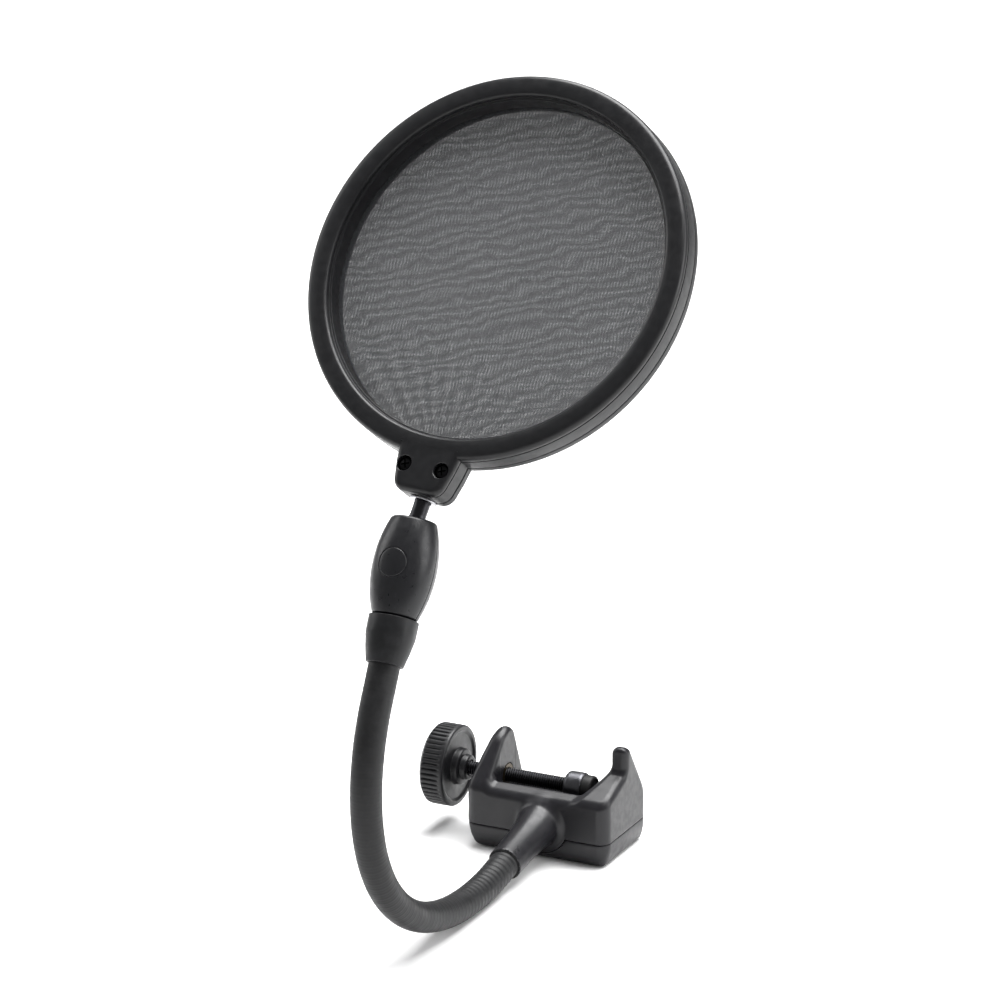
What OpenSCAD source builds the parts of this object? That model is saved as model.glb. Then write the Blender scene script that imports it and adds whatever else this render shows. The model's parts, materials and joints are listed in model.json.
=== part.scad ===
// Pop filter on a gooseneck, with a screw clamp and a ball-jointed ring.
// Millimetres. The origin is the centre of the clamp's base face, +Z up.
// The screw runs along X, and the gooseneck leaves towards -Y in the plane X = 0.

/* [Clamp] */
// Left end of the clamp body, behind the screw jaw
clamp_left = -33.5; // [-36:0.5:-31]
// Right end of the clamp body, behind the hook
clamp_right = 29.5; // [28:0.5:32]
// Half of the clamp body's width
clamp_half_w = 20; // [18:0.5:23]
// Height of the line where the base shell meets the clamp body
parting_z = 10; // [9:0.5:10.5]
// Height of the trough floor between the jaws
floor_z = 19.4; // [19:0.1:19.6]
// Height of the front wall at its outer edge
wall_z = 25.5; // [24:0.5:26.5]
// Height of the two jaw tips
jaw_top = 45.5; // [44:0.5:48]
// Inner face of the hook, which a tube is clamped against
hook_face_x = 22.5; // [21.5:0.5:23.5]

/* [Screw and knob] */
// Height of the clamp screw's axis
screw_z = 25.2; // [25:0.1:25.6]
// Radius of the clamp screw, an M6 thread
screw_r = 3; // [2.5:0.5:3]
// Radius of the knob
knob_r = 16.8; // [13:0.1:18]
// Inner face of the knob
knob_x = -45; // [-47:0.5:-42]
// Thickness of the knob
knob_t = 11.5; // [10:0.5:14]
// Front face of the shoe's rubber pad
pad_x = 15; // [14:0.5:15.5]

/* [Gooseneck] */
// Outer radius of the rubber sleeve
sleeve_r = 6.1; // [5.5:0.1:6.1]
// Outer radius of the wound steel core
core_r = 4.4; // [3.8:0.1:4.4]
// Length of one link, from bend point to bend point
link_len = 19; // [17:0.5:21]
// Gap between two links at a bend point
link_gap = 2.5; // [2.4:0.1:3]
// Slope of the gooseneck where it leaves the clamp, downwards
exit_slope = 9.5; // [8:0.5:10]

/* [Barrel] */
// Length of the barrel that holds the ball
barrel_len = 37.7; // [36.5:0.1:39]
// Largest radius of the barrel
barrel_r = 12.3; // [12:0.1:13]
// Radius of the curve along the barrel's side
barrel_bow = 50; // [48:1:60]
// How far the barrel leans to the knob's side
barrel_lean = 1.2; // [0:0.1:2]
// Radius of the ball
ball_r = 6.5; // [6.2:0.1:6.6]
// Radius of the stem
stem_r = 3.15; // [3:0.05:3.3]

/* [Ring] */
// Outer radius of the filter ring
ring_r = 78; // [70:1:80]
// Radius of the clear opening
open_r = 68.6; // [60:0.2:69]
// How far the ring leans back from upright
ring_lean = 36; // [32:0.1:40]
// How far the ring is turned about the vertical
ring_yaw = -6.9; // [-9:0.1:0]
// How far the ring is rolled about the stem
ring_roll = 2.5; // [-5:0.1:5]
// Distance from the ball's centre to the lug's underside
stem_reach = 13.6; // [13.4:0.1:16]
// Distance from the lug's underside to the ring's centre
lug_reach = 92.6; // [92:0.2:94]

/* [Hidden] */
$fn = 64;

slack = 0.05;
body_corner = 5;
jaw_inner_x = -23.5;
wall_inner_y = -12.3;
groove_z = floor_z - 0.7;
shoe_half_w = 6.2;
grub_r = 1.5;
grub_z = -33.6;
screw_holes = [[-25, -13], [-25, 13], [21, -13], [21, 13]];

// Gooseneck: how far each of the twelve links turns, in degrees, from the clamp to the barrel.
// The first and last links are straight half links, held in the clamp and in the barrel.
neck_turns = [0, 9, 9, 10, 12, 14, 16, 17, 16, 14.5, 12, 0];
neck_exit = [-52, 9.33];
last_link = len(neck_turns) - 1;
joint_ball_r = core_r - 0.2;
bore_r = core_r + 0.1;
function link_length(k) = k == 0 || k == last_link ? link_len / 2 : link_len;
function heading(k) = k == 0 ? 180 + exit_slope : heading(k - 1) - neck_turns[k - 1];
function chord(k) = neck_turns[k] == 0 ? link_length(k)
    : link_length(k) * sin(neck_turns[k] / 2) / (neck_turns[k] / 2 * PI / 180);
function step(k) = chord(k) * [cos(heading(k) - neck_turns[k] / 2), sin(heading(k) - neck_turns[k] / 2)];
function link_start(k) = k == 0 ? neck_exit : link_start(k - 1) + step(k - 1);

// Heights along the barrel's axis, counted from the tip of the upper boot
boot_top = 17.8;
barrel_z = 18;
barrel_top = barrel_z + barrel_len;
ball_z = barrel_top - 5.3;
cap_z = barrel_z + 18.9;
cap_r = 5.6;
ferrule_r = 5.6;

// Depths in the ring, from the stem's axis: the front face is towards -Y
ring_front = -9.3;
ring_part = 0.7;
rear_part = ring_part + 0.3;
screen_seat = ring_part + 2.1;
ring_back = ring_part + 4;
lip_depth = 3;
front_round = 3;
rear_round = 1.5;
face_crown_r = 16;
rim_groove = 0.4;
screen_r = 76;
screen_t = 0.2;
ring_z = stem_reach + lug_reach;
stem_end_r = 2;
nut_half_t = 3.3;
lug_screw_x = 8;
lug_screw_z = stem_reach + 10.2;
lug_screw_end = ring_part + 3;

// Frames
module at_exit() { translate([0, neck_exit[0], neck_exit[1]]) rotate([90 + exit_slope, 0, 0]) children(); }
module at_link(k) {
    translate([0, link_start(k)[0], link_start(k)[1]]) rotate([heading(k) - 90, 0, 0])
        rotate([0, k == last_link ? -barrel_lean : 0, 0]) children();
}
module at_barrel() { at_link(last_link) translate([0, 0, link_length(last_link)]) children(); }
module at_head() {
    at_barrel() translate([0, 0, ball_z]) rotate([0, barrel_lean, 0]) rotate([90 - heading(last_link), 0, 0])
        rotate([0, 0, ring_yaw]) rotate([-ring_lean, 0, 0]) rotate([0, 0, ring_roll]) children();
}
module at_ring() { at_head() translate([0, 0, ring_z]) rotate([90, 0, 0]) children(); }

// Shapes that repeat
module along_x(x0, x1) { translate([x0, 0, 0]) rotate([90, 0, 90]) linear_extrude(x1 - x0) children(); }
module along_y(y0, y1) { translate([0, y1, 0]) rotate([90, 0, 0]) linear_extrude(y1 - y0) children(); }
module rod(r, z0, z1) { translate([0, 0, z0]) cylinder(r = r, h = z1 - z0); }
module screw_rod(r, x0, x1) { translate([x0, 0, screw_z]) rotate([0, 90, 0]) cylinder(r = r, h = x1 - x0); }
module rounded_rect(x0, x1, y0, y1, r) {
    translate([x0 + r, y0]) square([x1 - x0 - 2 * r, y1 - y0]);
    translate([x0, y0 + r]) square([x1 - x0, y1 - y0 - 2 * r]);
    for (x = [x0 + r, x1 - r], y = [y0 + r, y1 - r]) translate([x, y]) circle(r);
}
module body_outline(z0, z1) {
    translate([0, 0, z0]) linear_extrude(z1 - z0)
        rounded_rect(clamp_left, clamp_right, -clamp_half_w, clamp_half_w, body_corner);
}

// A stretch of a link's curve, which bends towards +Y of its own frame and starts along +Z
module curved(k, s0, s1) {
    if (neck_turns[k] == 0) translate([0, 0, s0]) linear_extrude(s1 - s0) children();
    else {
        per_mm = neck_turns[k] / link_length(k);
        bend_r = 180 / PI / per_mm;
        translate([0, bend_r, 0]) rotate([90, 0, -90]) rotate([0, 0, s0 * per_mm])
            rotate_extrude(angle = (s1 - s0) * per_mm) translate([bend_r, 0]) children();
    }
}

// growth of the tapered neck's radius, from its mouth to its root
neck_flare = 3.4;

module cone_wall() {
    steps = 10;
    polygon(concat([[0, 0], [6.9, 0]],
        [for (i = [0 : steps]) [7 + neck_flare * pow(i / steps, 3), -3 - 31 * i / steps]], [[0, -34]]));
}

// hook's lip: its front face, its half width and the height of its round top's centre
lip_y = -1;
lip_r = 3.1;
lip_z = 41.2;

module clamp_body() color("#2b2c2f") difference() {
    union() {
        // lower block with its raised front wall
        intersection() {
            body_outline(parting_z, jaw_top);
            along_x(clamp_left, clamp_right) polygon([
                [-clamp_half_w, parting_z], [-clamp_half_w, wall_z], [-13, wall_z + 2.5],
                [wall_inner_y, floor_z], [clamp_half_w, floor_z], [clamp_half_w, parting_z]]);
            along_y(-clamp_half_w, clamp_half_w) polygon([
                [clamp_left, parting_z], [clamp_left, jaw_top], [16, jaw_top], [16, parting_z]]);
        }
        // screw jaw, a leaning triangle with a round tip
        intersection() {
            body_outline(parting_z, jaw_top);
            along_y(-clamp_half_w, clamp_half_w) polygon([
                [clamp_left, parting_z], [clamp_left, wall_z], [-28.5, jaw_top],
                [jaw_inner_x, jaw_top], [jaw_inner_x, parting_z]]);
            along_x(clamp_left, jaw_inner_x) union() {
                polygon([
                    [-clamp_half_w, parting_z], [-clamp_half_w, wall_z], [-4.6, jaw_top - 2.7],
                    [6.6, jaw_top - 3], [clamp_half_w - 3, floor_z], [clamp_half_w - 3, parting_z]]);
                translate([1, jaw_top - 7]) circle(6.2);
            }
        }
        // hook with its ramp
        intersection() {
            body_outline(parting_z, jaw_top + 2);
            along_y(-clamp_half_w, clamp_half_w) union() {
                polygon([
                    [5, parting_z], [5, floor_z], [13, 26], [20, 32], [hook_face_x, 36],
                    [hook_face_x, jaw_top - 3.5], [clamp_right, jaw_top - 3.5], [clamp_right, parting_z]]);
                translate([hook_face_x + 3.5, jaw_top - 3.5]) circle(3.5);
            }
            along_x(5, clamp_right) union() {
                polygon([
                    [-clamp_half_w, parting_z], [-clamp_half_w, wall_z + 1.5], [lip_y, jaw_top - 11],
                    [lip_y, lip_z], [lip_y + 2 * lip_r, lip_z], [clamp_half_w, floor_z + 1],
                    [clamp_half_w, parting_z]]);
                translate([lip_y + lip_r, lip_z]) circle(lip_r);
            }
        }
        // tapered neck that the gooseneck comes out of
        at_exit() rotate_extrude() cone_wall();
    }
    // channel that guides the shoe along the trough and into the ramp
    translate([jaw_inner_x, -shoe_half_w - 0.4, groove_z]) cube([16.2 - jaw_inner_x, 2 * shoe_half_w + 0.8, 40]);
    // screw jaw's bore for the brass insert
    screw_rod(4.6 + slack, clamp_left - 1, jaw_inner_x + 1);
    // bores for the gooseneck's end
    at_exit() {
        rod(sleeve_r + 0.1, -6.2, 1);
        rod(6.9, -3, 1);
        rod(ferrule_r + slack, -36.2, 0);
    }
    // screw holes, open to the base shell
    for (p = screw_holes) translate([p[0], p[1], 0]) rod(1.5, 0, 17);
    at_exit() translate([0, 0, grub_z]) rotate([90, 0, 0]) rod(grub_r, 1.5, 14);
    // hollow underside
    translate([-21, -13, parting_z - 1]) cube([36, 27, 6]);
    // flat ground under the tapered neck
    translate([-30, -60, -20]) cube([60, 45, 20.4]);
}

module clamp_base() color("#2b2c2f") difference() {
    intersection() {
        body_outline(0, parting_z - 0.1);
        along_y(-clamp_half_w, clamp_half_w) polygon([
            [clamp_left + 4.5, 0], [clamp_left, 9], [clamp_left, parting_z],
            [clamp_right, parting_z], [clamp_right, 4], [clamp_right - 2, 0]]);
        along_x(clamp_left, clamp_right) polygon([
            [-clamp_half_w + 2, 0], [-clamp_half_w, 4], [-clamp_half_w, parting_z],
            [clamp_half_w, parting_z], [clamp_half_w, 4], [clamp_half_w - 2, 0]]);
    }
    at_exit() rod(12.3, -36.5, 0);
    for (p = screw_holes) translate([p[0], p[1], 0]) {
        rod(1.65, -1, parting_z + 1);
        rod(3, -1, 3);
    }
    translate([-21, -6, 3]) cube([36, 20, parting_z]);
}

module cross_screw(head_r, head_h, r, length, drive = 1.1) difference() {
    union() {
        rod(head_r, 0, head_h);
        rod(r, head_h, length);
    }
    for (turn = [0, 90]) rotate([0, 0, turn]) translate([-head_r * 0.6, -drive / 4, -1])
        cube([head_r * 1.2, drive / 2, 1 + head_h * 0.6]);
}

module base_screws() color("#8f9195") for (p = screw_holes)
    translate([p[0], p[1], 1]) cross_screw(2.8, 2, 1.45, 15);

module ferrule_screw() color("#8f9195") at_exit() translate([0, 0, grub_z]) rotate([90, 0, 0]) difference() {
    rod(grub_r - slack, 2, 8);
    translate([0, 0, 6.8]) cylinder(r = 0.9, h = 2, $fn = 6);
}

module thread_insert() color("#b08d3c") difference() {
    screw_rod(4.6, clamp_left + 0.6, jaw_inner_x);
    screw_rod(screw_r + slack, clamp_left - 1, jaw_inner_x + 1);
}

module lower_ferrule() color("#9a9ca0") at_exit() difference() {
    rod(ferrule_r, -36, -7);
    rod(bore_r + slack, -26, -6);
    translate([0, 0, grub_z]) rotate([90, 0, 0]) rod(grub_r, 1.5, 10);
}

module lower_collar() color("#1b1c1e") at_exit() difference() {
    rod(6.85, -2.9, 0);
    rod(sleeve_r + 0.1, -4, 1);
}

module clamp_screw() color("#232427") difference() {
    union() {
        screw_rod(screw_r, knob_x - 8, 4.4);
        screw_rod(2.2, 4.4, 9.4);
        translate([knob_x - 8, 0, screw_z]) rotate([0, 90, 0]) cylinder(r = 5.5, h = 4, $fn = 6);
    }
    difference() {
        screw_rod(4, 8.1, 8.9);
        screw_rod(1.7, 8, 9);
    }
}

module knob_profile() polygon([
    [0, 0], [5.2, 0], [5.2, -4], [9.5, -4], [11, -5.2], [knob_r - 1.5, -5.2], [knob_r, -6.7],
    [knob_r, -knob_t - 2.7], [knob_r - 1.5, -knob_t - 4.2], [0, -knob_t - 4.2]]);

module knob() color("#26272a") difference() {
    translate([knob_x + 4.6, 0, screw_z]) rotate([0, 90, 0]) rotate_extrude() knob_profile();
    screw_rod(screw_r + slack, knob_x - 30, knob_x + 10);
    translate([knob_x - 8.1, 0, screw_z]) rotate([0, 90, 0]) cylinder(r = 5.6, h = 4.2, $fn = 6);
    screw_rod(8.1, knob_x - 30, knob_x - 8.05);
}

module knob_cap() color("#26272a") screw_rod(8, knob_x - 11.1, knob_x - 8.1);

module retaining_clip() color("#9a9ca0") difference() {
    screw_rod(3.5, 8.2, 8.8);
    screw_rod(1.75, 8, 9);
}

module pressure_shoe() color("#303135") difference() {
    union() {
        translate([3, 0, screw_z]) rotate([0, 90, 0]) rotate_extrude() union() {
            polygon([[0, 0], [4.4, 0], [shoe_half_w, 1.8], [shoe_half_w, 7.6], [5.8, 8.5], [0, 8.5]]);
        }
        translate([5, -shoe_half_w + 0.8, groove_z + 0.3]) cube([5.5, 2 * shoe_half_w - 1.6, 4]);
    }
    screw_rod(2.25, 0, 12);
    screw_rod(screw_r + 0.1, 0, 4.5);
    screw_rod(3.7, 8, 12);
    screw_rod(5.5, 10.2, 12);
}

module shoe_pad() color("#151515") screw_rod(5.5, 10.2, pad_x);

module neck_core(k) color("#77797d") at_link(k) {
    s0 = k == 0 ? -25 : joint_ball_r + 0.5;
    s1 = k == last_link ? link_length(k) + 15 : link_length(k) - link_gap / 2;
    curved(k, s0, s1) circle(core_r);
    if (k < last_link) at_end(k) sphere(joint_ball_r);
}

// The end of link k, seen from the link's own start
module at_end(k) {
    move = chord(k);
    half = neck_turns[k] / 2;
    translate([0, move * sin(half), move * cos(half)]) rotate([-2 * half, 0, 0]) children();
}

module neck_sleeve(k) color("#1f2022") at_link(k) {
    s0 = k == 0 ? -6 : link_gap / 2;
    s1 = k == last_link ? link_length(k) + 4 : link_length(k) - link_gap / 2;
    curved(k, s0, s1) sleeve_section();
}

module sleeve_section() difference() {
    circle(sleeve_r);
    circle(bore_r);
}

module upper_ferrule() color("#9a9ca0") at_barrel() difference() {
    union() {
        rod(ferrule_r, 4.2, 17.6);
        rod(4, 17.6, 31);
    }
    rod(bore_r + slack, 4, 15.2);
}

module upper_boot() color("#2b2c2f") at_barrel() difference() {
    rotate_extrude() polygon([
        [0, 0], [7.3, 0], [7.8, 0.8], [8.6, 4], [9.3, 7.5], [9.6, 10], [9.6, boot_top - 0.4],
        [9.2, boot_top], [0, boot_top]]);
    rod(sleeve_r + 0.1, -1, boot_top + 1);
}

module barrel_outside() at_barrel() translate([0, 0, barrel_z]) rotate_extrude() intersection() {
    translate([barrel_r - barrel_bow, barrel_len / 2]) circle(barrel_bow, $fn = 256);
    square([barrel_r + 1, barrel_len]);
}

module barrel_hollow() at_barrel() {
    rod(4 + slack, barrel_z - 1, 31.2);
    translate([0, 0, ball_z]) sphere(ball_r + slack);
    rod(ball_r - 0.7, ball_z, barrel_top + 1);
    translate([0, 0, ball_z + 3]) cylinder(r1 = ball_r - 0.7, r2 = ball_r + 1.1, h = barrel_top - ball_z - 3 + 0.01);
    rod(5.6 + slack, ball_z - 7.5, ball_z - 2);
    translate([0, 0, cap_z]) rotate([90, 0, 0]) {
        rod(1.6, -6, 14);
        rod(2.6, 5.4, 14);
        rod(cap_r + slack, 9, 14);
    }
    translate([0, 0, cap_z]) rotate([90, 0, 0]) rod(1.45, -9, -5);
}

module barrel_half(side) color("#2b2c2f") difference() {
    intersection() {
        barrel_outside();
        at_barrel() translate([-15, side < 0 ? -15.05 : 0.05, 0]) cube([30, 15, 80]);
    }
    barrel_hollow();
}
module barrel_front() barrel_half(-1);
module barrel_rear() barrel_half(1);

module barrel_screw() color("#8f9195") at_barrel() translate([0, -7.4, cap_z]) rotate([-90, 0, 0])
    cross_screw(2.5, 2, 1.4, 16);

module barrel_cap() color("#2d2e31") intersection() {
    barrel_outside();
    at_barrel() translate([0, 0, cap_z]) rotate([90, 0, 0]) rod(cap_r, 9.1, 14);
}

module ball_seat() color("#d8d8d2") at_barrel() difference() {
    rod(5.6, ball_z - 7.4, ball_z - 2.2);
    translate([0, 0, ball_z]) sphere(ball_r + slack);
    rod(2, ball_z - 8, ball_z);
}

module ball_stem() color("#36373a") at_head() {
    sphere(ball_r);
    rod(stem_r, 0, 18);
    rod(stem_end_r, 18, 27);
}

module lug_outline() {
    polygon([
        [-4.6, 0], [4.6, 0], [9.6, 5.2], [12.4, 10.6], [14, 20], [-14, 20], [-12.4, 10.6], [-9.6, 5.2]]);
    for (side = [-1, 1]) translate([side * 4.6, 5.2]) circle(5.2);
}

module lug(y0, y1) translate([0, 0, stem_reach]) along_y(y0, y1) lug_outline();

module lug_holes() at_head() {
    rod(stem_r + slack, 0, 18.1);
    rod(stem_end_r + slack, 0, 27.3);
    translate([-4.7, -nut_half_t - 0.1, 20.9]) cube([9.4, 2 * nut_half_t + 0.2, 4.2]);
    for (side = [-1, 1]) translate([side * lug_screw_x, 0, lug_screw_z]) rotate([-90, 0, 0]) {
        rod(1.55, ring_front - 1, lug_screw_end + 0.3);
        rod(3.1, ring_front - 1, ring_front + 3);
    }
}

module front_section() difference() {
    intersection() {
        translate([open_r, -ring_part]) square([ring_r - open_r, ring_part - ring_front]);
        // crowned face, a hair behind the lug's flat front
        translate([(open_r + ring_r) / 2, -ring_front - slack - face_crown_r]) circle(face_crown_r, $fn = 128);
    }
    // eased lip inside, rounded rim outside and a fine groove beside it
    translate([open_r - 1, -ring_front - lip_depth]) square([2, 10]);
    translate([ring_r - front_round, -ring_front - front_round]) difference() {
        square([front_round + 1, front_round + 1]);
        circle(front_round);
    }
    translate([ring_r - rim_groove, -ring_front - front_round - 2 * rim_groove]) square([1, rim_groove]);
}

module front_ring() color("#242528") difference() {
    union() {
        at_ring() rotate_extrude() front_section();
        at_head() lug(ring_front, ring_part);
    }
    lug_holes();
    at_ring() rod(open_r, -20, 20);
    at_ring() rod(open_r + 1, -ring_front - lip_depth, 20);
}

module rear_ring() color("#2b2c2f") difference() {
    union() {
        at_ring() rotate_extrude() difference() {
            translate([open_r, -ring_back]) square([ring_r - open_r, ring_back - rear_part]);
            // rebate for the screens and the spacer
            translate([open_r - 1, -screen_seat]) square([screen_r + 1.2 - open_r, 5]);
            translate([ring_r - rear_round, -ring_back - 1]) difference() {
                square([rear_round + 1, rear_round + 1]);
                translate([0, rear_round + 1]) circle(rear_round);
            }
        }
        difference() {
            at_head() lug(rear_part, ring_back);
            at_ring() rod(ring_r - 1, -20, 20);
        }
    }
    lug_holes();
}

module screen(y) color("#5c5e62") at_ring() rod(screen_r, -y - screen_t, -y);
module front_screen() screen(ring_part + 0.05);
module rear_screen() screen(ring_part + 1.75);
module spacer_ring() color("#3a3b3e") at_ring() difference() {
    rod(screen_r, -ring_part - 1.7, -ring_part - 0.3);
    rod(open_r + 1.4, -20, 20);
}

module lug_screws() color("#1a1a1b") at_head() for (side = [-1, 1])
    translate([side * lug_screw_x, ring_front + 0.8, lug_screw_z]) rotate([-90, 0, 0])
        cross_screw(2.9, 2.1, 1.5, lug_screw_end - ring_front - 0.8);

module stem_nut() color("#b9bbbe") at_head() translate([0, 0, 21]) linear_extrude(4) difference() {
    translate([-4.6, -nut_half_t]) square([9.2, 2 * nut_half_t]);
    circle(stem_end_r + slack);
}

module stem_washer() color("#c9cacc") at_head() difference() {
    rod(5.2, stem_reach - 0.85, stem_reach - 0.05);
    rod(stem_r + slack, 0, 20);
}

clamp_body();
clamp_base();
base_screws();
thread_insert();
lower_ferrule();
ferrule_screw();
lower_collar();
clamp_screw();
knob();
knob_cap();
retaining_clip();
pressure_shoe();
shoe_pad();
for (k = [1 : 12]) neck_core(k - 1);
for (k = [1 : 12]) neck_sleeve(k - 1);
upper_ferrule();
upper_boot();
barrel_front();
barrel_rear();
barrel_screw();
barrel_cap();
ball_seat();
ball_stem();
front_ring();
rear_ring();
front_screen();
rear_screen();
spacer_ring();
lug_screws();
stem_nut();
stem_washer();
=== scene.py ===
"""Looks of the pop filter: moulded shells, ribbed gooseneck, woven screens and studio, on the CAD frame.

Shapes are worked out in millimetres in the frame of their own part.
A matrix puts them in place and turns them to metres.
"""

import json
import math

import bmesh
import bpy
import numpy as np
from mathutils import Matrix, Vector


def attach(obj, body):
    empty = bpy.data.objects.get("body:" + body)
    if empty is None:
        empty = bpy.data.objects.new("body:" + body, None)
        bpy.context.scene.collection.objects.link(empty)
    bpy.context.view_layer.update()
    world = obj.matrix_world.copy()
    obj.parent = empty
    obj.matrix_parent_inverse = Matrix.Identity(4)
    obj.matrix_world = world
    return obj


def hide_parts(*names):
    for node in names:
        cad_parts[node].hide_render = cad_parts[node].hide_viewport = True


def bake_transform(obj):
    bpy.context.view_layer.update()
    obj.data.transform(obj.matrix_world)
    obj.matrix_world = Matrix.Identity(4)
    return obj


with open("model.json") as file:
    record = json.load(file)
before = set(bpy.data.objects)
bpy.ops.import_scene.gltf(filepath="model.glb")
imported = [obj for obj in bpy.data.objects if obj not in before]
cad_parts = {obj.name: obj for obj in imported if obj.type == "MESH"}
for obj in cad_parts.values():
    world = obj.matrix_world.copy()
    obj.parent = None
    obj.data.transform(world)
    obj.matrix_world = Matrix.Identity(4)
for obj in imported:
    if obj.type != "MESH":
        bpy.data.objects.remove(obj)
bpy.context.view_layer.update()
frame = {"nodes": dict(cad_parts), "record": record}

MM = 0.001
SMOOTH_ANGLE = math.radians(38)

# Camera, from the photograph's viewing angle
VIEW_AZIMUTH, VIEW_ELEVATION = 25.92, 18.37
VIEW_DISTANCE, VIEW_LENS = 2.0, 187.2
VIEW_AIM = Vector((0.002, -0.06, 0.1639))

# Driving dimensions in millimetres, as in the design
CLAMP_LEFT, CLAMP_RIGHT, CLAMP_HALF_W, CLAMP_CORNER = -33.5, 29.5, 20.0, 5.0
PARTING_Z, FLOOR_Z, WALL_Z, JAW_TOP = 10.0, 19.4, 25.5, 45.5
JAW_INNER_X, HOOK_FACE_X, WALL_INNER_Y, LIP_Y = -23.5, 22.5, -12.3, -1.0
SCREW_Z, SCREW_R, THREAD_PITCH, THREAD_DEPTH = 25.2, 3.0, 1.0, 0.55
SHOE_HALF_W, PAD_R = 6.2, 5.5
KNOB_X, KNOB_R, KNOB_RIBS = -40.4, 16.8, 48
HALF_LINK, SLEEVE_R, SLEEVE_BORE_R = 9.5, 6.1, 4.85
BARREL_Z, BARREL_LEN, BARREL_R, BARREL_BOW = 18.0, 37.7, 12.3, 50.0
BALL_Z, BALL_R, STEM_R, CAP_Z, CAP_R = 50.4, 6.5, 3.15, 36.9, 5.6
RING_YAW, RING_LEAN, RING_ROLL = -6.9, 36.0, 2.5
RING_R, OPEN_R, RING_FRONT, RING_PART, RING_BACK = 78.0, 68.6, 9.3, -0.7, -4.7
STEM_REACH, LUG_REACH, SCREEN_R = 13.6, 92.6, 76.0
LUG_SCREW_X, LUG_SCREW_RISE = 8.0, 10.2
BASE_HOLE_X, BASE_HOLE_Y, BASE_HOLE_R = (-25, 21), 13, 1.65
BASE_HEAD_R, BASE_HEAD_DEPTH = 3, 3


# ---------------------------------------------------------------- places, from the frame
joints = {joint["name"]: joint for joint in frame["record"]["behaviour"]["joints"]}


def joint_point(name):
    return Vector(joints[name]["pos_m"]) / MM


def joint_axis(name):
    return Vector(joints[name]["axis"]).normalized()


def placed(origin, x_axis, z_axis):
    """Matrix from a part's own millimetres to the frame's metres."""
    z = z_axis.normalized()
    x = (x_axis - z * x_axis.dot(z)).normalized()
    y = z.cross(x)
    turn = Matrix((x, y, z)).transposed().to_4x4()
    return Matrix.Scale(MM, 4) @ Matrix.Translation(origin) @ turn


NECK_ORDER = [joint for joint in joints.values() if joint["name"].startswith("neck_")]
X = Vector((1, 0, 0))
ball = joint_point("ball_pan")
barrel_axis = joint_axis("ball_pan")
boot_tip = ball - barrel_axis * BALL_Z
barrel_place = placed(boot_tip, X, barrel_axis)
head_turn = (
    Matrix.Rotation(math.radians(RING_YAW), 4, "Z")
    @ Matrix.Rotation(math.radians(-RING_LEAN), 4, "X")
    @ Matrix.Rotation(math.radians(RING_ROLL), 4, "Z")
)
head_place = Matrix.Scale(MM, 4) @ Matrix.Translation(ball) @ head_turn
# the ring's own axis is its front normal
FACE_FRONT = Matrix.Rotation(math.pi / 2, 4, "X")
ring_place = head_place @ Matrix.Translation((0, 0, STEM_REACH + LUG_REACH)) @ FACE_FRONT
screw_place = Matrix.Scale(MM, 4) @ Matrix.Translation((0, 0, SCREW_Z)) @ Matrix.Rotation(math.pi / 2, 4, "Y")
clamp_place = Matrix.Scale(MM, 4)


# ---------------------------------------------------------------- mesh helpers
def solid(name, points, faces, place, angle=SMOOTH_ANGLE):
    """A closed mesh object with smooth shading and sharp edges past an angle."""
    mesh = bpy.data.meshes.new(name)
    mesh.from_pydata([tuple(p) for p in points], [], faces)
    work = bmesh.new()
    work.from_mesh(mesh)
    bmesh.ops.remove_doubles(work, verts=work.verts, dist=1e-5)
    bmesh.ops.dissolve_degenerate(work, edges=work.edges, dist=1e-5)
    bmesh.ops.delete(work, geom=[edge for edge in work.edges if edge.is_wire], context="EDGES")
    bmesh.ops.recalc_face_normals(work, faces=work.faces)
    work.to_mesh(mesh)
    work.free()
    mesh.transform(place)
    if place.determinant() < 0:
        mesh.flip_normals()
    shade(mesh, angle)
    thing = bpy.data.objects.new(name, mesh)
    bpy.context.scene.collection.objects.link(thing)
    return thing


def shade(mesh, angle):
    mesh.polygons.foreach_set("use_smooth", [True] * len(mesh.polygons))
    mesh.set_sharp_from_angle(angle=angle)


def rounded(corners, steps=6):
    """A closed outline from (u, v, radius) corners, each turned into an arc."""
    outline = []
    count = len(corners)
    for i, (u, v, radius) in enumerate(corners):
        corner = Vector((u, v))
        if radius == 0:
            outline.append(corner)
            continue
        before = (Vector(corners[i - 1][:2]) - corner).normalized()
        after = (Vector(corners[(i + 1) % count][:2]) - corner).normalized()
        half = before.angle(after) / 2
        centre = corner + (before + after).normalized() * radius / math.sin(half)
        first = corner + before * radius / math.tan(half) - centre
        last = corner + after * radius / math.tan(half) - centre
        outline += [centre + first.slerp(last, k / steps) * radius for k in range(steps + 1)]
    return outline


def revolve(outline, segments=96, shape=None):
    """Points and faces of a closed (r, z) outline turned about Z. shape(angle, r, z) may change r."""
    points, faces = [], []
    rows = len(outline)
    for j in range(segments):
        turn = 2 * math.pi * j / segments
        for r, z in outline:
            reach = shape(turn, r, z) if shape else r
            points.append((reach * math.cos(turn), reach * math.sin(turn), z))
    for j in range(segments):
        here, there = j * rows, (j + 1) % segments * rows
        for i in range(rows):
            k = (i + 1) % rows
            faces.append((here + i, there + i, there + k, here + k))
    return points, faces


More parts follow.
